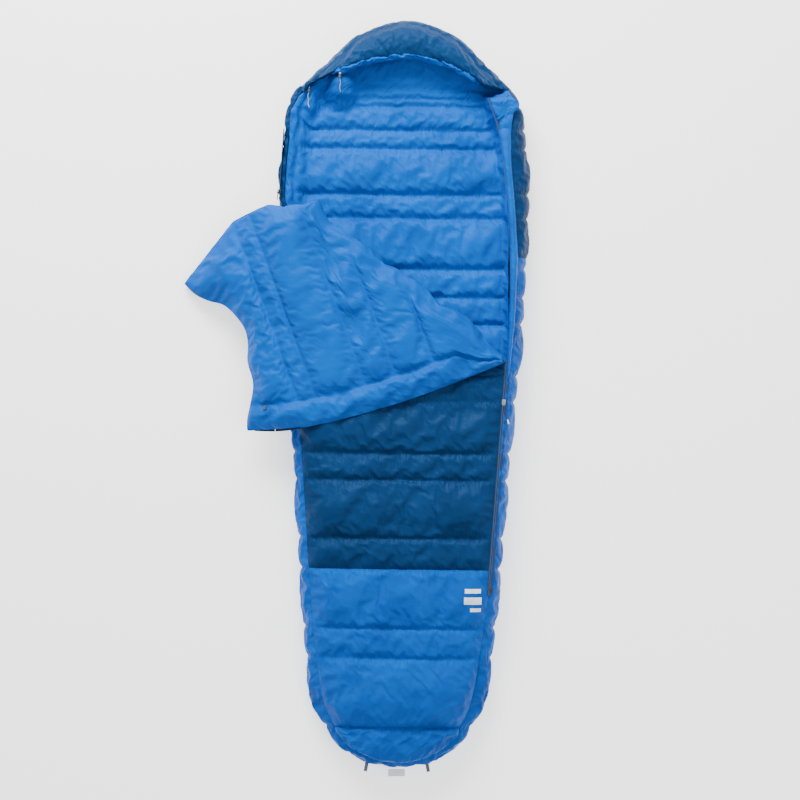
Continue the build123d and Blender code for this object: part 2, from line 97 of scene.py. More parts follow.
def at(line, share):
    """Points of a sampled curve at shares of its length."""
    places = np.linspace(0, 1, len(line))
    return np.stack([np.interp(share, places, line[:, k]) for k in range(line.shape[1])], axis=-1)


mirror_start = HALF_OUTLINE[1] * (-1, 1)
mirror_end = HALF_OUTLINE[-2] * (-1, 1)
EDGE = curve(np.vstack([mirror_start, HALF_OUTLINE, mirror_end]), 2400)
EDGE = EDGE[EDGE[:, 0] >= 0]
EDGE = curve(EDGE[::8], 1200)
tangent = np.gradient(EDGE, axis=0)
tangent /= np.linalg.norm(tangent, axis=1)[:, None]
INWARD = np.stack([-tangent[:, 1], tangent[:, 0]], axis=1)
ZIP_LINE = curve(ZIP_UPPER)


def half_width(y):
    """Half the bag's width at y."""
    return np.interp(y, EDGE[:, 1], EDGE[:, 0])


def zip_x(y):
    """The main zip's line: straight to the knee, then along its upper curve."""
    straight = ZIP_LOW[0] + (y - ZIP_LOW[1]) * (ZIP_KNEE[0] - ZIP_LOW[0]) / (ZIP_KNEE[1] - ZIP_LOW[1])
    return np.where(y < ZIP_KNEE[1], straight, np.interp(y, ZIP_LINE[:, 1], ZIP_LINE[:, 0]))


def fold_y(x):
    """The fold's line, as y at x."""
    share = (x - FOLD_RIGHT[0]) / (FOLD_LEFT[0] - FOLD_RIGHT[0])
    return FOLD_RIGHT[1] + share * (FOLD_LEFT[1] - FOLD_RIGHT[1])


def fold_x(y):
    """The fold's line, as x at y."""
    share = (y - FOLD_RIGHT[1]) / (FOLD_LEFT[1] - FOLD_RIGHT[1])
    return FOLD_RIGHT[0] + share * (FOLD_LEFT[0] - FOLD_RIGHT[0])


fold_way = (FOLD_LEFT - FOLD_RIGHT) / np.linalg.norm(FOLD_LEFT - FOLD_RIGHT)
FOLD_OUT = np.array((fold_way[1], -fold_way[0]))        # across the fold, towards the hood


def mirrored(points):
    """Plan points of the closed flap, turned over the fold line."""
    reach = (points - FOLD_RIGHT) @ FOLD_OUT
    return points - 2 * reach[..., None] * FOLD_OUT


def smooth(t):
    """A soft step, from 0 at t = 0 to 1 at t = 1."""
    t = np.clip(t, 0, 1)
    return t * t * (3 - 2 * t)


def arch(share, power=.6):
    """A round arch over a chamber: 0 at its ends and 1 in its middle."""
    return (4 * share * (1 - share)) ** power


def row_points(x, y, z):
    """A row's points from its coordinates. Each is an array or one number for the whole row."""
    return np.stack(np.broadcast_arrays(x, y, z), axis=1)


def loft(y, seams, slope=.10, least=.004):
    """How far a chamber stands up at y, before the cloth is inflated."""
    seams = np.asarray(seams)
    index = np.clip(np.searchsorted(seams, y) - 1, 0, len(seams) - 2)
    low, high = seams[index], seams[index + 1]
    share = np.clip((y - low) / (high - low), 0, 1)
    return (slope * (high - low) + least) * arch(share)


# ---- Cloth ----------------------------------------------------------------------------------
def levels(seams, step=STEP):
    """Row places between seams, each with whether it is a seam."""
    rows = []
    for low, high in zip(seams, seams[1:]):
        count = max(3, round(abs(high - low) / step))
        rows += [(low + (high - low) * k / count, k == 0) for k in range(count)]
    return rows + [(seams[-1], True)]


def quilt(name, rows, place, parts=1, step=STEP, loose_below=None, turned=False, reach=.022):
    """A mesh of triangles from rows of points. place(v, share, part) gives a row's points.

    Seams and the ends of each part are stitched down, but for the end of part 0 below loose_below.
    A turned mesh faces the other way. Gathers fade within reach of a seam.
    """
    points, pins, faces, marks, along, across = [], [], [], [], [], []
    before = None
    last_centre = None
    reached = 0.0
    seams = []
    for v, seam in rows:
        ids = []
        centre = place(v, np.array([.5]), parts // 2)[0]
        reached += 0.0 if last_centre is None else float(np.linalg.norm(centre - last_centre))
        last_centre = centre
        if seam:
            seams.append(reached)
        row_start = -.5 * parts
        for part in range(parts):
            rough = place(v, np.linspace(0, 1, 9), part)
            length = np.linalg.norm(np.diff(rough, axis=0), axis=1).sum()
            count = max(2, math.ceil(length / step) + 1)
            row = place(v, np.linspace(0, 1, count), part)
            first = len(points)
            if part:
                row = row[1:]
            here = ([ids[-1][-1]] if part else []) + list(range(first, first + len(row)))
            points += row.tolist()
            run = np.concatenate([[0], np.cumsum(np.linalg.norm(np.diff(row, axis=0), axis=1))])
            along += (row_start + run).tolist()
            across += [reached] * len(row)
            row_start += run[-1]
            for k in range(len(row)):
                at_start = k == 0 and part == 0
                at_end = k == len(row) - 1
                free = part == 0 and loose_below is not None and v < loose_below
                pinned = seam or at_start or (at_end and not free)
                pins.append(1.0 if pinned else 0.0)
                marks.append(1 if part == 0 and v > FOLD_LEFT[1] else part)
            ids.append(here)
        if before:
            for low, high in zip(before, ids):
                faces += stitch(low, high)
        before = ids
    points = np.array(points)
    if turned:
        faces = [face[::-1] for face in faces]
    shake = random.normal(0, .0005, points.shape) * (1 - np.array(pins))[:, None]
    across = np.array(across)
    gap = np.min(np.abs(across[:, None] - np.array(seams)[None, :]), axis=1)
    piece = cloth_object(name, points + shake, faces, pins, marks)
    mesh = piece.data
    seam_gap = mesh.attributes.new("seam_gap", "FLOAT", "POINT")
    seam_gap.data.foreach_set("value", gap.astype(np.float32))
    weave = mesh.uv_layers.new(name="weave")
    corners = np.empty(len(mesh.loops), dtype=np.int32)
    mesh.loops.foreach_get("vertex_index", corners)
    flat = np.stack([np.array(along), across], axis=1)
    weave.data.foreach_set("uv", flat[corners].astype(np.float32).ravel())
    ripple = mesh.attributes.new("ripple", "FLOAT", "POINT")
    height = wrinkle_noise(flat[:, 0], flat[:, 1], GATHER_WIDTH, GATHER_LENGTH)
    height *= np.exp(-gap / reach) * (1 - np.exp(-(gap / .004) ** 2))
    ripple.data.foreach_set("value", height.astype(np.float32))
    return piece


def wrinkle_noise(along, across, width, length):
    """Smooth noise from -1 to 1, fine along a seam and drawn out across it."""
    grid = random.uniform(-1, 1, (64, 512))
    row = np.floor(across / length).astype(int)
    column = np.floor(along / width).astype(int)
    down = smooth(across / length - row)
    right = smooth(along / width - column)

    def line(level):
        here = grid[level % 64, column % 512]
        following = grid[level % 64, (column + 1) % 512]
        return here * (1 - right) + following * right

    return line(row) * (1 - down) + line(row + 1) * down


def stitch(low, high):
    """Triangles between two rows of points."""
    faces = []
    i = j = 0
    while i < len(low) - 1 or j < len(high) - 1:
        next_low = (i + 1) / max(1, len(low) - 1)
        next_high = (j + 1) / max(1, len(high) - 1)
        if j == len(high) - 1 or (i < len(low) - 1 and next_low <= next_high):
            faces.append((low[i], low[i + 1], high[j]))
            i += 1
        else:
            faces.append((low[i], high[j + 1], high[j]))
            j += 1
    return faces


def cloth_object(name, points, faces, pins, marks):
    """An object with its pinned points in a group and each point's part in an attribute."""
    mesh = bpy.data.meshes.new(name)
    mesh.from_pydata([tuple(p) for p in points], [], faces)
    mesh.update()
    mark = mesh.attributes.new("part", "INT", "POINT")
    mark.data.foreach_set("value", np.array(marks, dtype=np.int32))
    piece = bpy.data.objects.new(name, mesh)
    bpy.context.collection.objects.link(piece)
    group = piece.vertex_groups.new(name="stitched")
    group.add([k for k, pin in enumerate(pins) if pin], 1.0, "REPLACE")
    return piece


def plump(piece, spare=.07, pressure=5.0):
    """Cloth that is a little too large for its seams, pushed out by the down behind it."""
    cloth = piece.modifiers.new("plump", "CLOTH")
    settings = cloth.settings
    settings.quality = 5
    settings.mass = .02
    settings.use_pressure = True
    settings.uniform_pressure_force = pressure
    settings.shrink_min = -spare
    settings.vertex_group_mass = "stitched"
    settings.tension_stiffness = 15
    settings.compression_stiffness = 15
    settings.shear_stiffness = 5
    settings.bending_stiffness = .05
    settings.effector_weights.gravity = 0
    cloth.collision_settings.use_collision = False


def settle(pieces, frames=24, reach=.022):
    """Run every cloth together, then keep its shape: no point moves further than reach."""
    scene = bpy.context.scene
    for number in range(1, frames + 1):
        scene.frame_set(number)
    graph = bpy.context.evaluated_depsgraph_get()
    for piece in pieces:
        count = len(piece.data.vertices)
        start = np.empty(count * 3)
        piece.data.vertices.foreach_get("co", start)
        end = np.empty(count * 3)
        piece.evaluated_get(graph).data.vertices.foreach_get("co", end)
        start = start.reshape(-1, 3)
        move = end.reshape(-1, 3) - start
        size = np.linalg.norm(move, axis=1)[:, None]
        move *= np.tanh(size / reach) * reach / np.maximum(size, 1e-9)
        final = start + move
        final[:, 2] = np.maximum(final[:, 2], GROUND_GAP)
        piece.modifiers.clear()
        piece.data.vertices.foreach_set("co", final.ravel())
        piece.data.update()
        final[:, 2] -= np.maximum(0, final[:, 2] - HIGHEST) * PRESSED
        normals = np.empty(count * 3, dtype=np.float32)
        piece.data.vertex_normals.foreach_get("vector", normals)
        ripple = np.empty(count, dtype=np.float32)
        piece.data.attributes["ripple"].data.foreach_get("value", ripple)
        final += normals.reshape(-1, 3) * ripple[:, None] * piece["pucker"]
        final[:, 2] = np.maximum(final[:, 2], LOWEST)
        piece.data.vertices.foreach_set("co", final.ravel())
        piece.data.update()
    scene.frame_set(1)


def finish_cloth(piece, material, finer_by=1):
    """Smooth shading, the fabric, and a finer mesh."""
    for face in piece.data.polygons:
        face.use_smooth = True
    piece.data.materials.append(material)
    if finer_by:
        finer = piece.modifiers.new("finer", "SUBSURF")
        finer.levels = finer_by
        finer.render_levels = finer_by


# ---- Materials --------------------------------------------------------------------------------
def nodes_of(name):
    """A new material, its node tree and its shader."""
    material = bpy.data.materials.new(name)
    material.use_nodes = True
    tree = material.node_tree
    return material, tree, tree.nodes["Principled BSDF"]


def add(tree, kind, **values):
    """A shader node with some of its properties or inputs set."""
    node = tree.nodes.new(kind)
    for key, value in values.items():
        if hasattr(node, key):
            setattr(node, key, value)
        else:
            node.inputs[key.replace("_", " ").title()].default_value = value
    return node


def relief(tree, source, strength, distance, under=None):
    """Relief from a height, on top of the relief of another bump."""
    bump = add(tree, "ShaderNodeBump", strength=strength, distance=distance)
    tree.links.new(source, bump.inputs["Height"])
    if under:
        tree.links.new(under, bump.inputs["Normal"])
    return bump.outputs["Normal"]


def nylon(name, colour, deep, roughness=.50, gloss=.24, sheen=(.04, .42, 1), crinkle=.30):
    """Downproof nylon: satin, with a faint weave, and fine creases that run out from its seams."""
    material, tree, shader = nodes_of(name)
    place = add(tree, "ShaderNodeTexCoord").outputs["Object"]
    cut = add(tree, "ShaderNodeUVMap", uv_map="weave").outputs["UV"]
    drawn = add(tree, "ShaderNodeMapping")
    drawn.inputs["Scale"].default_value = (110, 16, 1)
    tree.links.new(cut, drawn.inputs["Vector"])
    gathers = add(tree, "ShaderNodeTexNoise", scale=1.0, detail=3.0, distortion=.8)
    tree.links.new(drawn.outputs["Vector"], gathers.inputs["Vector"])
    gap = add(tree, "ShaderNodeAttribute", attribute_name="seam_gap").outputs["Fac"]
    fade = add(tree, "ShaderNodeMapRange", interpolation_type="SMOOTHSTEP")
    fade.inputs["From Min"].default_value = .045
    fade.inputs["From Max"].default_value = .0
    tree.links.new(gap, fade.inputs["Value"])
    gathered = add(tree, "ShaderNodeMath", operation="MULTIPLY")
    tree.links.new(gathers.outputs["Fac"], gathered.inputs[0])
    tree.links.new(fade.outputs["Result"], gathered.inputs[1])
    patches = add(tree, "ShaderNodeTexNoise", scale=9.0, detail=3.0)
    creases = add(tree, "ShaderNodeTexNoise", scale=75.0, detail=4.0, distortion=.6)
    weave = add(tree, "ShaderNodeTexNoise", scale=900.0, detail=2.0)
    for node in (patches, creases, weave):
        tree.links.new(place, node.inputs["Vector"])
    mix = add(tree, "ShaderNodeMix", data_type="RGBA")
    mix.inputs["A"].default_value = (*deep, 1)
    mix.inputs["B"].default_value = (*colour, 1)
    spread = add(tree, "ShaderNodeMapRange")
    spread.inputs["From Min"].default_value = .25
    spread.inputs["From Max"].default_value = .6
    tree.links.new(patches.outputs["Fac"], spread.inputs["Value"])
    tree.links.new(spread.outputs["Result"], mix.inputs["Factor"])
    tree.links.new(mix.outputs["Result"], shader.inputs["Base Color"])
    rough = add(tree, "ShaderNodeMapRange")
    rough.inputs["To Min"].default_value = roughness - .06
    rough.inputs["To Max"].default_value = roughness + .08
    tree.links.new(creases.outputs["Fac"], rough.inputs["Value"])
    tree.links.new(rough.outputs["Result"], shader.inputs["Roughness"])
    fine = relief(tree, weave.outputs["Fac"], .12, .0004)
    broad = relief(tree, creases.outputs["Fac"], crinkle, .003, under=fine)
    pleats = relief(tree, gathered.outputs["Value"], .9, .006, under=broad)
    tree.links.new(pleats, shader.inputs["Normal"])
    shader.inputs["Specular IOR Level"].default_value = gloss
    shader.inputs["Specular Tint"].default_value = (*sheen, 1)
    return material


def plain(name, colour, roughness, metallic=0.0, grain=600.0, depth=.0002):
    """Moulded, metal or woven small parts: a fine grain and uneven wear."""
    material, tree, shader = nodes_of(name)
    place = add(tree, "ShaderNodeTexCoord").outputs["Object"]
    speckle = add(tree, "ShaderNodeTexNoise", scale=grain, detail=2.0)
    wear = add(tree, "ShaderNodeTexNoise", scale=60.0, detail=3.0)
    for node in (speckle, wear):
        tree.links.new(place, node.inputs["Vector"])
    mix = add(tree, "ShaderNodeMix", data_type="RGBA")
    mix.inputs["A"].default_value = (*[c * .8 for c in colour], 1)
    mix.inputs["B"].default_value = (*[min(1, c * 1.15) for c in colour], 1)
    tree.links.new(wear.outputs["Fac"], mix.inputs["Factor"])
    tree.links.new(mix.outputs["Result"], shader.inputs["Base Color"])
    tree.links.new(relief(tree, speckle.outputs["Fac"], .4, depth), shader.inputs["Normal"])
    shader.inputs["Roughness"].default_value = roughness
    shader.inputs["Metallic"].default_value = metallic
    return material


BLUE = nylon("blue_lining", (.0, .085, .42), (.0, .055, .30))
SHELL_BLUE = nylon("blue_shell", (.0, .076, .39), (.0, .050, .28))
NAVY = nylon("navy_shell", (.003, .030, .106), (.002, .022, .078), gloss=.14, sheen=(.35, .60, 1))
TAPE = plain("zip_tape", (.003, .022, .080), .85)
COIL = plain("zip_coil", (.02, .04, .10), .4)
SILVER = plain("slider_grey", (.30, .31, .34), .4, metallic=.7)
BLACK = plain("slider_black", (.02, .02, .03), .4)
CORD = plain("grey_cord", (.30, .34, .42), .8)
DARK_CORD = plain("dark_cord", (.02, .03, .07), .8)
TIP = plain("pull_tip", (.70, .71, .76), .4)
LOCK = plain("lock_plastic", (.05, .06, .08), .45)
BUTTON = plain("lock_button", (.62, .52, .50), .45)
WEBBING = plain("grey_webbing", (.10, .12, .16), .85)
LABEL = plain("white_label", (.72, .72, .86), .8)
PRINT = plain("white_print", (.80, .82, .90), .6)
SNAP = plain("press_stud", (.12, .12, .14), .4, metallic=.6)

# ---- Top panel, fixed part ------------------------------------------------------------------
LEFT_EDGE_Z = .084
RIGHT_EDGE_Z = .1075
MIDDLE_Z = .105
TAPE_COVER = .0055              # the fabric's edge lies this far from the zip's line, over the tape
TOP_INSET = .022                # the top panel's left edge, from the bag's widest line
ZIP_END_Y = -.53                # below this the top panel meets the right side without a zip
FOOT_CAP_Y = TOP_SEAMS[0]
UNDER_FLAP_Y = TOP_SEAMS[-1]
FOOT_RIM_Z = .072               # the seam round the foot's end
FOOT_EDGE = EDGE + INWARD * .017
quilts = []


def sew(name, rows, place, material, spare=.05, pressure=5.0, pucker=.0022, **options):
    """A cloth to inflate. pucker is how high the gathers stand beside its seams."""
    piece = quilt(name, rows, place, **options)
    piece["pucker"] = pucker
    plump(piece, spare, pressure)
    quilts.append(piece)
    piece["material"] = material.name
    return piece


def dome(share, left, right, middle, power=3.0):
    """A flat arch across the panel, between its two edges' heights."""
    edge = left + (right - left) * share
    return edge + (middle - edge) * (1 - np.abs(2 * share - 1) ** power)


def edge_fade(share, power=10):
    """0 at a row's two ends and 1 between them."""
    return 1 - np.abs(2 * share - 1) ** power


def foot_left(y):
    """The foot panel's left edge."""
    return -(half_width(y) - np.interp(y, [-.93, -.7, COLOUR_CHANGE_Y], [.027, .026, TOP_INSET]))


def foot_right(y):
    """The foot panel's right edge, which is beside the zip near the torso."""
    inset = np.interp(y, [-.93, -.72, -.56], [.034, .034, .027])
    return np.where(y > ZIP_END_Y, zip_x(y) - TAPE_COVER, half_width(y) - inset)


def foot_right_z(y):
    """The foot panel's right edge rises to the zip."""
    return float(np.interp(y, [-.66, -.56], [LEFT_EDGE_Z + .002, RIGHT_EDGE_Z]))


def torso(y, share, part):
    """A row of the navy panel."""
    left = -(half_width(y) - TOP_INSET)
    right = zip_x(y) - TAPE_COVER
    x = left + (right - left) * share
    z = dome(share, LEFT_EDGE_Z, RIGHT_EDGE_Z, MIDDLE_Z)
    lower_near_fold = 1 - .5 * smooth((y + .13) / .12)
    z = z + loft(y, TOP_SEAMS) * edge_fade(share) * lower_near_fold
    return row_points(x, y, z)


def under_flap(q, share, part):
    """A row of the part under the flap, from the last straight seam at q = 0 to the fold at q = 1."""
    left = np.array((-(half_width(UNDER_FLAP_Y) - TOP_INSET), UNDER_FLAP_Y))
    left_top = np.array((-.318, .511))
    right = np.array((zip_x(UNDER_FLAP_Y) - TAPE_COVER, UNDER_FLAP_Y))
    right_top = np.array((.2785, .0985))
    start = left + (left_top - left) * q
    end = right + (right_top - right) * q
    x = start[0] + (end[0] - start[0]) * share
    y = UNDER_FLAP_Y + (fold_y(x) - .002 - UNDER_FLAP_Y) * q
    z = dome(share, LEFT_EDGE_Z, RIGHT_EDGE_Z, MIDDLE_Z)
    z = z + .012 * np.abs(np.sin(math.pi * 2.5 * q)) ** .6 * edge_fade(share) * (1 - q)
    z = z + (.1055 - z) * smooth((q - .8) / .2)
    return row_points(x, y, z)


def foot_row(y, share, part):
    """A row of the blue foot panel, which drops towards the toes."""
    left = foot_left(y)
    right = foot_right(y)
    x = left + (right - left) * share
    drop = .012 * smooth((-y - .75) / .2)
    z = dome(share, LEFT_EDGE_Z, foot_right_z(y), MIDDLE_Z) - drop
    z = z + loft(y, TOP_SEAMS) * edge_fade(share)
    return row_points(x, y, z)


def end_cap(q, share, part):
    """A row of the foot's rounded end, from the last seam at q = 0 to its rim at q = 1."""
    left = foot_left(FOOT_CAP_Y)
    right = foot_right(FOOT_CAP_Y)
    x = left + (right - left) * share
    front = FOOT_EDGE[FOOT_EDGE[:, 1] < -.85]
    y_end = np.interp(np.abs(x), front[:, 0], front[:, 1])
    y = FOOT_CAP_Y + (y_end - FOOT_CAP_Y) * q
    z_seam = dome(share, LEFT_EDGE_Z, foot_right_z(FOOT_CAP_Y), MIDDLE_Z) - .0115
    z = z_seam + (FOOT_RIM_Z - z_seam) * q ** 1.6 + .016 * arch(q) * edge_fade(share)
    return row_points(x, y, z)


torso_piece = sew("top_torso", levels(TOP_SEAMS[3:]), torso, NAVY)
under_piece = sew("top_under_flap", levels([0, .4, 1], .045), under_flap, NAVY, step=.014)
foot_piece = sew("top_foot", levels(TOP_SEAMS[:4]), foot_row, SHELL_BLUE)
cap_piece = sew("foot_end_cap", levels([0, 1], .07), end_cap, SHELL_BLUE, turned=True)

# ---- Sides and underside ----------------------------------------------------------------------
SIDE_Z = .046                   # height of the widest line
ARM_ZIP_LIFT = .016             # the widest line is this much higher at the arm zip
UNDER_INSET = .045              # the sides turn under by this much, on the ground
SIDE_SEAMS = [-1.026, *BACK_SEAMS, .800, .90, 1.026]
edge_share = np.linspace(0, 1, len(EDGE))


def shoulder_x(y):
    """The right shoulder panel's edge: beside the zip, then out to the hood's side."""
    return np.interp(y, [.50, .64, .72, .745, .768, .80, .846], [.2865, .280, .280, .284, .298, .296, .268])


def side_inset(y, side):
    """How far a side's upper edge lies in from the widest line."""
    if side < 0:
        return np.interp(y, [-.95, -.93, -.7, COLOUR_CHANGE_Y, .48, .53, .80, .86],
                         [.017, .027, .026, TOP_INSET, TOP_INSET, .012, .010, .010])
    if y < ZIP_END_Y:
        return np.interp(y, [-.97, -.93, -.72, -.56], [.017, .034, .034, .027])
    edge = zip_x(y) + TAPE_COVER if y < .50 else shoulder_x(y)
    return half_width(y) - edge


def side_top_z(y, side):
    """The height of a side's upper edge."""
    if side < 0:
        return np.interp(y, [-1.02, -.93, -.8, .46, .54, .82, .88],
                         [.072, .072, .084, .084, .074, .074, .084])
    return np.interp(y, [-1.02, -.93, -.8, -.66, -.56, .74, .78, .88],
                     [.072, .072, .080, .086, .1075, .1075, .090, .084])


def side_row(side):
    """Rows that run over a side, from its upper edge to the ground, at a share t of the outline."""
    def place(t, share, part):
        point = at(EDGE, np.array([t]))[0]
        inward = at(INWARD, np.array([t]))[0]
        inset = float(side_inset(point[1], side))
        top = float(side_top_z(point[1], side))
        angle = share * math.pi
        upper = angle < math.pi / 2
        lift = ARM_ZIP_LIFT * float(smooth((point[1] - .50) / .05)) if side < 0 else 0
        wide_z = SIDE_Z + lift
        depth = np.where(upper, inset, UNDER_INSET) * (1 - np.sin(angle))
        z = np.where(upper, wide_z + (top - wide_z) * np.cos(angle), wide_z * (1 + np.cos(angle)) + .001)
        puff = loft(point[1], SIDE_SEAMS, .05, .003) * np.sin(angle) * .8
        swell = puff - .004 + .005 * (wide_z - SIDE_Z) / ARM_ZIP_LIFT
        plan = point + inward * (depth - swell)[:, None]
        return row_points(side * plan[:, 0], plan[:, 1], z)
    return place


def share_of(y):
    """The share of the outline's length that lies below y."""
    return float(np.interp(y, EDGE[:, 1], edge_share))


lower_side = [0.0, *[share_of(y) for y in BACK_SEAMS if y < SHOULDER_Y], share_of(SHOULDER_Y)]
upper_side = [share_of(y) for y in (SHOULDER_Y, *BACK_SEAMS[-4:], .800, NECK_Y)]
edge_length = np.linalg.norm(np.diff(EDGE, axis=0), axis=1).sum()
sides = {}
for side, word in ((-1, "left"), (1, "right")):
    for rows, part_name, material in ((lower_side, "side", SHELL_BLUE), (upper_side, "shoulder", NAVY)):
        name = f"{word}_{part_name}"
        sides[name] = sew(name, levels(rows, STEP / edge_length), side_row(side), material, turned=side < 0)


def floor_row(y, share, part):
    """A row of the underside, which lies on the ground with shallow seams."""
    reach = half_width(y) - UNDER_INSET + .004
    x = reach * (2 * share - 1)
    z = GROUND_GAP + .004 * np.abs(np.cos(math.pi * y / .14)) ** 8 * edge_fade(share, 4)
    return row_points(x, y, z)


underside_low = quilt("underside", levels([-.975, COLOUR_CHANGE_Y, SHOULDER_Y], .02), floor_row, step=.04)
underside_high = quilt("underside_shoulder", levels([SHOULDER_Y, .845, .975], .02), floor_row, step=.04)

# ---- Lining of the open part --------------------------------------------------------------------
LINING_SEAMS = [.06, .200, .274, .353, .490, .557, .682, .734, .799, .820, .845, .950]
FLOOR_Z = .034                  # the open lining's seams
STRIP = .024                    # plain strip beside the arm zip
COLLAR_TAIL_X = -.267
HOOD_TAIL_X = -.180


def wall_x(y):
    """Where the lining climbs on the right: at the zip, and then at the hood's side."""
    neck = smooth((y - .815) / .03)
    return zip_x(y) * (1 - neck) + (half_width(y) - .018) * neck


def lining_right(y):
    """The lining's right edge, under the draft tube and then at the hood's side."""
    at_neck = half_width(NECK_Y) - .010
    at_hood = half_width(.95) - .016
    return float(np.interp(y, [.06, .60, .70, .745, .768, .80, NECK_Y, .95],
                           [.290, .286, .288, .296, .312, .308, at_neck, at_hood]))


def support(x, centre, height, reach):
    """A low fold of the lining that lies up under a cord's tail."""
    return height * np.exp(-((x - centre) / reach) ** 2)


def lining_row(v, share, part):
    """A row of the open lining: part 0 is the strip beside the arm zip and part 1 the quilted floor."""
    inset = np.interp(v, [.46, .53, .82, .90], [.030, .0125, .0125, .020])
    left = -(half_width(v) - inset)
    bounds = (left, left + STRIP, lining_right(v))
    x = bounds[part] + (bounds[part + 1] - bounds[part]) * share
    whole = (x - bounds[0]) / (bounds[2] - bounds[0])
    ends = smooth((np.abs(2 * whole - 1) - .80) / .18)
    y = v + .038 * ends * math.exp(-((v - .734) / .04) ** 2)
    left_z = np.interp(v, [.46, .53, .82, .90], [.062, .074, .074, .066])
    climb_left = smooth((bounds[1] + .045 - x) / .060)
    right_z = np.interp(v, [.10, .66, .72, .81, .86], [.092, .092, .109, .109, .075])
    climb_right = smooth((x - wall_x(v) + .015) / .022)
    z = FLOOR_Z + (left_z - FLOOR_Z) * climb_left + (right_z - FLOOR_Z) * climb_right
    puff = loft(v, LINING_SEAMS, .14, .005) * (1 - .75 * np.maximum(climb_left, climb_right))
    if part == 0:
        puff = .006 * arch(share)
    z = z + puff
    if part == 1 and .73 < v < .90:
        under_collar_tail = float(np.interp(v, [.74, .785, .848, .88], [FLOOR_Z, .0750, .0750, .060]))
        under_hood_tail = float(np.interp(v, [.77, .830, .866, .89], [FLOOR_Z, .0860, .0935, .075]))
        z = np.maximum(z, support(x, COLLAR_TAIL_X, under_collar_tail, .040))
        z = np.maximum(z, support(x, HOOD_TAIL_X, under_hood_tail, .060))
    return row_points(x, y, z)


lining_piece = sew("back_lining_cloth", levels(LINING_SEAMS), lining_row, BLUE, parts=2, pucker=.0026)

# ---- Hood -----------------------------------------------------------------------------------------
RIM_LINE = curve(RIM)
HOOD_INSET = .016               # the brow's outer seam lies in from the widest line by this much
HOOD_SEAM_Z = .084
hood_part = EDGE[:, 1] > NECK_Y - .006
left_outline = EDGE[hood_part] * (-1, 1)
left_inward = INWARD[hood_part] * (-1, 1)
HOOD_EDGE = np.vstack([left_outline, EDGE[hood_part][::-1]])
HOOD_INWARD = np.vstack([left_inward, INWARD[hood_part][::-1]])
BROW_EDGE = HOOD_EDGE + HOOD_INWARD * HOOD_INSET
RIM_Z = .106
LIP = .2                        # how far the brow turns under its own front edge
HEM_FROM = .13                  # the part of the rim where the blue hem shows
HEM_TO = .86
HEM_RADIUS = .0095


def rim_height(share):
    """The rim's height: low at its two ends, where it meets the bag."""
    return HOOD_SEAM_Z + .002 + (RIM_Z - HOOD_SEAM_Z - .002) * smooth(np.minimum(share, 1 - share) / .14)


def brow_row(q, share, part):
    """From under the rim, over the brow and down the outside of the hood to the ground."""
    rim = at(RIM_LINE, share)
    outer = at(BROW_EDGE, share)
    rim_z = rim_height(share)
    if q < 0:
        return row_points(rim[:, 0], rim[:, 1] + .006 * math.sin(math.pi * q / LIP), rim_z + .11 * q)
    if q <= 1:
        plan = rim + (outer - rim) * q
        width = np.linalg.norm(outer - rim, axis=1)
        z = rim_z + (HOOD_SEAM_Z - rim_z) * q ** 1.6 + .26 * width * arch(q, .7)
        return row_points(plan[:, 0], plan[:, 1], z)
    angle = (q - 1) * math.pi
    upper = angle < math.pi / 2
    depth = (HOOD_INSET if upper else UNDER_INSET) * (1 - math.sin(angle)) - .004 * math.sin(angle)
    plan = at(HOOD_EDGE, share) + at(HOOD_INWARD, share) * depth
    if upper:
        z = SIDE_Z + (HOOD_SEAM_Z - SIDE_Z) * math.cos(angle)
    else:
        z = SIDE_Z * (1 + math.cos(angle)) + .001
    return row_points(plan[:, 0], plan[:, 1], z)


def hem_row(angle, share, part):
    """The blue hem that rolls round the rim's drawcord."""
    spot = HEM_FROM + (HEM_TO - HEM_FROM) * share
    rim = at(RIM_LINE, spot)
    ahead = at(RIM_LINE, spot + .004) - at(RIM_LINE, spot - .004)
    ahead /= np.linalg.norm(ahead, axis=1)[:, None]
    down = np.stack([ahead[:, 1], -ahead[:, 0]], axis=1)
    thin = .35 + .65 * smooth(np.minimum(share, 1 - share) / .05)
    plan = rim + down * (thin * (.0045 + HEM_RADIUS * math.sin(angle)))[:, None]
    z = rim_height(spot) - .009 + HEM_RADIUS * math.cos(angle) * thin
    return row_points(plan[:, 0], plan[:, 1], z)


def brow_lining_row(q, share, part):
    """The underside of the brow, from its rim to the back of the hood."""
    rim = at(RIM_LINE, share)
    outer = at(BROW_EDGE, share)
    plan = rim + (outer - rim) * q
    z = (rim_height(share) - .018) * (1 - q) + .060 * q
    return row_points(plan[:, 0], plan[:, 1], z - .016 * np.sin(math.pi * q))


brow_levels = [(-LIP, True), (-LIP / 2, False)] + levels([0, 2], .075)
brow_piece = sew("hood_brow", brow_levels, brow_row, NAVY, spare=.035, pucker=.007, reach=.036, step=.007)
hem_piece = sew("hood_hem_cloth", levels([-.9, math.pi * .95], .35), hem_row, BLUE, spare=.10, step=.006,
                turned=True, pucker=.003)
brow_lining = sew("hood_brow_lining_cloth", levels([0, 1], .2), brow_lining_row, BLUE, step=.014)

# ---- Flap: rows run across the closed panel, and the whole is drawn turned over -------------------
FLAP_SEAMS = [.108, .284, .394, .480, .618, .668]
NECK_FROM = FLAP_SEAMS[-1]      # rows above this fan out to the neck's edge
NECK_SPAN = .12
NECK_TOP = NECK_FROM + NECK_SPAN
NECK_LINE = curve(FLAP_NECK)
NECK_CORNER = .86               # where the facing meets the neck, as a share of the neck's edge
BAND = .072                     # width of the plain facing beside the zip
FLAP_MIDDLE_Z = .118
BEND_X = -.298                  # where the flap starts down over the bag's side
ROLL = .034                     # how far the roll round the fold stands out
EDGE_GAP = .004                 # the flap's left edge lies outside the bag's widest line by this much


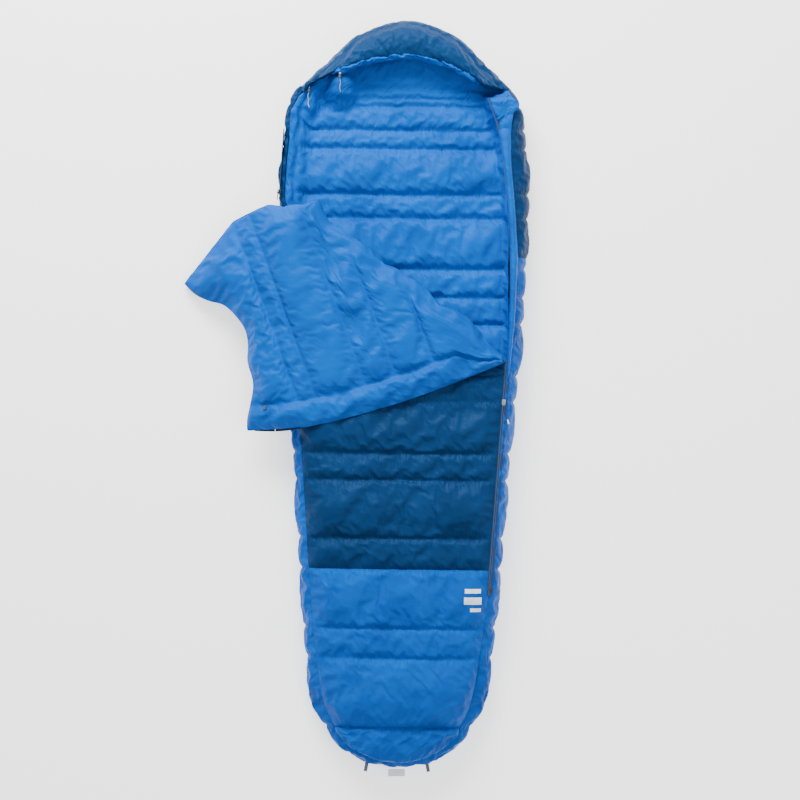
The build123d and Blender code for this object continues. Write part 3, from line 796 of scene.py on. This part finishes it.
def middle_z(x):
    """The flap's height: level over the bag and sloping down past its side."""
    past = np.maximum(0, BEND_X - x)
    return FLAP_MIDDLE_Z - .392 * past ** 2 / (past + .06)


def band_share(v):
    """The facing is narrower beside the fold's end."""
    return float(np.clip((v - .10) / .12, .3, 1))


def between(ends, share, part):
    """Points on one part of a row, from the row's ends and the places where its parts meet."""
    return ends[part] + (ends[part + 1] - ends[part]) * share[:, None]


def closed_row(v, share, part):
    """Plan points of the closed flap. v is y up to NECK_FROM, and then runs to the neck over NECK_SPAN."""
    if v <= NECK_FROM:
        left = np.where(v < FOLD_LEFT[1], fold_x(v), -(half_width(v) + EDGE_GAP))
        if abs(v - FOLD_LEFT[1]) < .06:
            rounded = -.290 - .055 * float(smooth((v - .454) / .12))
            left = min(float(fold_x(min(v, FOLD_LEFT[1]))), rounded)
        band = min(BAND * band_share(v), .5 * (float(zip_x(v)) - float(left)))
        return between(np.array([(left, v), (zip_x(v) - band, v), (zip_x(v), v)], dtype=float), share, part)
    q = (v - NECK_FROM) / NECK_SPAN
    base_x = (-(half_width(NECK_FROM) + EDGE_GAP), zip_x(NECK_FROM) - BAND, zip_x(NECK_FROM))
    low = between(np.array([(x, NECK_FROM) for x in base_x], dtype=float), share, part)
    cut = (0, NECK_CORNER, 1)
    high = at(NECK_LINE, cut[part] + (cut[part + 1] - cut[part]) * share)
    return low + (high - low) * q


def edge_distance(v, share, part):
    """0 at the flap's free edges, 1 well inside."""
    from_zip = 1.0 if part == 0 else 1 - share
    from_left = share if (part == 0 and v > FOLD_LEFT[1]) else 1.0
    q = (v - NECK_FROM) / NECK_SPAN
    from_neck = np.clip((1 - q) * 3, 0, 1) if q > 0 else 1.0
    return np.minimum(np.minimum(np.clip(from_zip * 1.6, 0, 1), np.clip(from_left * 9, 0, 1)), from_neck)


def flap_top_row(v, share, part):
    """A row of the flap's lining: part 0 is quilted and part 1 is the facing beside the zip."""
    plan = mirrored(closed_row(v, share, part))
    inside = np.sqrt(edge_distance(v, share, part))
    rise = .004 + .006 * inside
    if part == 0:
        puff = loft(v, [*FLAP_SEAMS, NECK_TOP + .001], .10, .004) * edge_fade(share, 12)
    else:
        puff = .013 * arch(share)
    return row_points(plan[:, 0], plan[:, 1], middle_z(plan[:, 0]) + rise + puff * inside)


def flap_full_row(v, share, part):
    """Part 0 is the roll round the fold, part 1 the quilted lining, part 2 the facing beside the zip."""
    if part > 0:
        return flap_top_row(v, share, part - 1)
    start = flap_top_row(v, np.array([0.0]), 0)[0]
    if v >= FOLD_LEFT[1] - .004:
        return start + np.array([[0, 0, -.012]]) * (1 - share)[:, None]
    angle = (share - .5) * math.pi
    bulge = ROLL * float(smooth((v - .09) / .10)) * float(smooth((FOLD_LEFT[1] + .03 - v) / .10))
    high = start[2]
    low = LEFT_EDGE_Z
    reach = np.cos(angle) * (bulge + .004)
    z = (high + low) / 2 + (high - low) / 2 * np.sin(angle)
    plan = start[:2] + FOLD_OUT * reach[:, None]
    return row_points(plan[:, 0], plan[:, 1], z)


def flap_bottom_row(v, share, part):
    """A row of the flap's shell, which meets the lining at the free edges."""
    plan = mirrored(closed_row(v, share, part))
    inside = np.sqrt(edge_distance(v, share, part))
    rise = -.006 - .007 * inside
    puff = .006
    if part == 0:
        puff = loft(v, [*FLAP_SEAMS, NECK_TOP + .001], .07, .002) * edge_fade(share, 12)
    z = middle_z(plan[:, 0]) + rise - puff * inside
    top = flap_top_row(v, share, part)[:, 2]
    rim = np.clip(1 - edge_distance(v, share, part) * 6, 0, 1)
    z = z * (1 - rim) + top * rim
    return row_points(plan[:, 0], plan[:, 1], np.maximum(z, .003))


flap_rows = levels([*FLAP_SEAMS, NECK_TOP])
flap_piece = sew("flap_lining_cloth", flap_rows, flap_full_row, BLUE, parts=3, loose_below=.47, turned=True,
                 pucker=.0026)
flap_shell = sew("flap_shell_cloth", flap_rows, flap_bottom_row, NAVY, spare=.01, pressure=1.0, parts=2,
                 step=.012)

# ---- Draft tube ---------------------------------------------------------------------------------
def tube_row(y, share, part):
    """The padded tube that lies over the zip's open half."""
    outer = float(np.interp(y, [.03, .20, .38, .54, .64, .72, .77],
                            [.290, .306, .313, .302, .292, .290, .292]))
    inner = float(zip_x(y)) + .001
    full = float(smooth((.775 - y) / .06)) * float(smooth((y - .01) / .08))
    centre_x = (inner + outer) / 2
    angle = (share * 1.5 - .25) * math.pi
    x = centre_x - (outer - inner) / 2 * (.3 + .7 * full) * np.cos(angle)
    z = .1015 - .006 * (1 - full) + .0165 * full * np.sin(angle)
    return row_points(x, y, z)


draft_tube = sew("draft_tube_cloth", levels([.01, .775], STEP), tube_row, BLUE, spare=.05, step=.007)

# ---- Make the cloth -----------------------------------------------------------------------------
settle(quilts)
for piece in quilts:
    finish_cloth(piece, bpy.data.materials[piece["material"]])
finish_cloth(underside_low, SHELL_BLUE, 0)
finish_cloth(underside_high, NAVY, 0)


def cut_out(name, points, faces, material):
    """A new piece from some of a mesh's faces."""
    used = sorted({v for face in faces for v in face})
    index = {v: k for k, v in enumerate(used)}
    mesh = bpy.data.meshes.new(name)
    mesh.from_pydata([tuple(points[v]) for v in used], [], [tuple(index[v] for v in face) for face in faces])
    mesh.materials.append(material)
    mesh.polygons.foreach_set("use_smooth", [True] * len(faces))
    mesh.update()
    piece = bpy.data.objects.new(name, mesh)
    bpy.context.collection.objects.link(piece)
    return piece


def split_roll(piece):
    """Take the roll round the fold out of the flap's lining, as a piece of its own."""
    bpy.context.view_layer.objects.active = piece
    with bpy.context.temp_override(object=piece, active_object=piece, selected_objects=[piece]):
        bpy.ops.object.modifier_apply(modifier="finer")
    mesh = piece.data
    marks = np.empty(len(mesh.vertices), dtype=np.int32)
    mesh.attributes["part"].data.foreach_get("value", marks)
    points = np.empty(len(mesh.vertices) * 3)
    mesh.vertices.foreach_get("co", points)
    points = points.reshape(-1, 3)
    faces = [tuple(face.vertices) for face in mesh.polygons]
    roll_faces = [face for face in faces if min(marks[v] for v in face) == 0]
    flat_faces = [face for face in faces if min(marks[v] for v in face) > 0]
    roll = cut_out("fold_roll", points, roll_faces, BLUE)
    lining = cut_out("flap_lining_quilt", points, flat_faces, BLUE)
    bpy.data.objects.remove(piece)
    return roll, lining


quilts.remove(flap_piece)
fold_roll, flap_lining = split_roll(flap_piece)
quilts += [fold_roll, flap_lining]

# ---- Plain bars printed on the foot panel ---------------------------------------------------------
BAR_STEP = .003
BAR_LIFT = .0006                # the print stands this far off the fabric


def printed_bar(name, x_low, x_high, y_low, y_high, under):
    """A thin patch that follows the fabric under it."""
    cloth = under.evaluated_get(bpy.context.evaluated_depsgraph_get())
    across = max(2, round((x_high - x_low) / BAR_STEP))
    up = max(2, round((y_high - y_low) / BAR_STEP))
    points = []
    for j in range(up + 1):
        for i in range(across + 1):
            x = x_low + (x_high - x_low) * i / across
            y = y_low + (y_high - y_low) * j / up
            hit, place = cloth.ray_cast((x, y, .3), (0, 0, -1))[:2]
            points.append((x, y, (place.z if hit else .1) + BAR_LIFT))
    faces = []
    for j in range(up):
        for i in range(across):
            corner = j * (across + 1) + i
            faces.append((corner, corner + 1, corner + across + 2, corner + across + 1))
    bar = cut_out(name, points, faces, PRINT)
    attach(bar, "bag")


printed_bar("foot_bar_upper", .177, .221, -.535, -.523, foot_piece)
printed_bar("foot_bar_middle", .175, .223, -.566, -.546, foot_piece)
printed_bar("foot_bar_lower", .192, .222, -.586, -.576, foot_piece)

# ---- Cords: routes in millimetres, as in the CAD --------------------------------------------------
CORD_SIZE = .0024
MAIN_PULL_ROUTE = [(277.0, -22.6, 109.9), (279.5, -35, 109.6), (285, -47.5, 109.4),
                   (288.3, -60.3, 109.4)]
COLLAR_CORD_ROUTE = [(-266, 830.2, 80.6), (-269.5, 820.5, 78.6), (-266, 809.5, 77.6), (-268.5, 799, 77.6),
                     (-264.5, 789.5, 77.6)]
HOOD_CORD_ROUTE = [(-180.5, 866.4, 101), (-178, 855.5, 98.5), (-181.5, 844.5, 94.5), (-179, 832, 89.5)]


def cord_piece(name, route, material):
    """A round cord along a smooth curve that has the route's points as its control points."""
    data = bpy.data.curves.new(name, "CURVE")
    data.dimensions = "3D"
    data.bevel_depth = CORD_SIZE / 2
    data.bevel_resolution = 4
    data.resolution_u = 16
    data.use_fill_caps = True
    spline = data.splines.new("NURBS")
    spline.points.add(len(route) - 1)
    for point, place in zip(spline.points, route):
        point.co = (*[v / 1000 for v in place], 1)
    spline.order_u = 3
    spline.use_endpoint_u = True
    data.materials.append(material)
    piece = bpy.data.objects.new(name, data)
    bpy.context.collection.objects.link(piece)
    return piece


pull_cord = cord_piece("main_pull_braid", MAIN_PULL_ROUTE, DARK_CORD)
collar_tail = cord_piece("collar_tail_braid", COLLAR_CORD_ROUTE, CORD)
hood_tail = cord_piece("hood_tail_braid", HOOD_CORD_ROUTE, CORD)

# ---- What some pieces ride on; the rest are baked into world space --------------------------------
for piece in (torso_piece, under_piece, foot_piece, cap_piece, draft_tube, underside_low,
              sides["left_side"], sides["right_side"]):
    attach(piece, "bag")
for piece in (lining_piece, underside_high, sides["left_shoulder"], sides["right_shoulder"], brow_piece,
              hem_piece, brow_lining):
    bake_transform(piece)
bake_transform(fold_roll)
for piece in (flap_lining, flap_shell):
    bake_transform(piece)

for piece, body, node, route, length, end in (
        (pull_cord, "main_pull", "main_pull_cord", MAIN_PULL_ROUTE, .0393, "fitting"),
        (collar_tail, "bag", "collar_cord_tail", COLLAR_CORD_ROUTE, .042, "bare"),
        (hood_tail, "hood", "hood_cord_tail", HOOD_CORD_ROUTE, .0365, "bare")):
    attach(piece, body)
    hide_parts(node)

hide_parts("top_torso_shell", "top_down", "top_baffles", "top_lining")
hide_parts("top_foot_shell")
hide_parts("back_lining", "back_collar", "side_lining", "hood_back_lining", "hood_back_down",
            "side_down", "back_down", "back_baffles")
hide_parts("draft_tube")
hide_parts("back_shell")
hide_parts("left_side_wall", "left_side_shell")
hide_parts("right_side_wall", "right_side_shell")
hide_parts("right_shoulder_shell")
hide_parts("hood_back_shell")
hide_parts("hood_brow_shell", "hood_brow_down")
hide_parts("hood_brow_lining")
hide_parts("hood_hem", "hood_drawcord")
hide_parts("flap_lining", "flap_down", "flap_baffles", "wing_lining", "wing_down",
            "wing_baffles", "wing_collar")
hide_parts("flap_shell", "wing_shell")

# ---- Materials of the CAD nodes that stay ---------------------------------------------------------
kept = {"zip_tapes": TAPE, "zip_coils": COIL,
        "flap_zip_half": TAPE, "wing_zip_half": TAPE, "arm_zip_half": TAPE,
        "main_slider": SILVER, "main_pull_yoke": SILVER, "main_pull_tip": TIP,
        "lower_slider": BLACK, "lower_pull": BLACK, "arm_slider": BLACK, "arm_pull": BLACK,
        "collar_lock_barrel": LOCK, "collar_lock_button": BUTTON, "collar_lock_spring": SILVER,
        "hood_lock_barrel": LOCK, "hood_lock_button": BUTTON, "hood_lock_spring": SILVER,
        "hang_loops": WEBBING, "care_label": LABEL,
        "snap_stud": SNAP, "snap_socket": SNAP}
for name, material in kept.items():
    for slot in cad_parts[name].material_slots:
        slot.material = material

# ---- Stage ------------------------------------------------------------------------------------------
FLOOR_REACH = 6
floor_corners = [(-FLOOR_REACH, -FLOOR_REACH, 0), (FLOOR_REACH, -FLOOR_REACH, 0),
                 (FLOOR_REACH, FLOOR_REACH, 0), (-FLOOR_REACH, FLOOR_REACH, 0)]
floor_mesh = bpy.data.meshes.new("floor")
floor_mesh.from_pydata(floor_corners, [], [(0, 1, 2, 3)])
floor = bpy.data.objects.new("floor", floor_mesh)
bpy.context.collection.objects.link(floor)
floor_material, _, floor_shader = nodes_of("pale_floor")
floor_shader.inputs["Base Color"].default_value = (.95, .95, .95, 1)
floor_shader.inputs["Roughness"].default_value = .8
floor_shader.inputs["Emission Color"].default_value = (1, 1, 1, 1)
floor_shader.inputs["Emission Strength"].default_value = 1.2
floor_mesh.materials.append(floor_material)

world = bpy.data.worlds.new("studio")
world.use_nodes = True
background = world.node_tree.nodes["Background"]
background.inputs["Color"].default_value = (1, 1, 1, 1)
background.inputs["Strength"].default_value = .78
bpy.context.scene.world = world


def softbox(name, place, size, power):
    """A rectangular light aimed at the bag's middle."""
    data = bpy.data.lights.new(name, "AREA")
    data.shape = "RECTANGLE"
    data.size, data.size_y = size
    data.energy = power
    light = bpy.data.objects.new(name, data)
    light.location = place
    light.rotation_euler = (-Vector(place)).to_track_quat("-Z", "Y").to_euler()
    bpy.context.collection.objects.link(light)


softbox("key", (-.9, 3.4, 2.4), (2.6, 1.6), 380)
softbox("fill", (1.6, -1.0, 3.6), (2.4, 2.4), 60)

# ---- Camera: straight above, turned a little ----------------------------------------------------
VIEW_WIDTH = 2.191              # metres across the picture, at the bag's top
CAMERA_HEIGHT = 6.0
BAG_TOP = .09
SENSOR = 36
camera_data = bpy.data.cameras.new("camera")
camera_data.sensor_width = SENSOR
camera_data.lens = SENSOR * (CAMERA_HEIGHT - BAG_TOP) / VIEW_WIDTH
camera = bpy.data.objects.new("camera", camera_data)
camera.location = (-.0056, -.0110, CAMERA_HEIGHT)
camera.rotation_euler = (0, 0, math.radians(.69))
bpy.context.collection.objects.link(camera)
bpy.context.scene.camera = camera
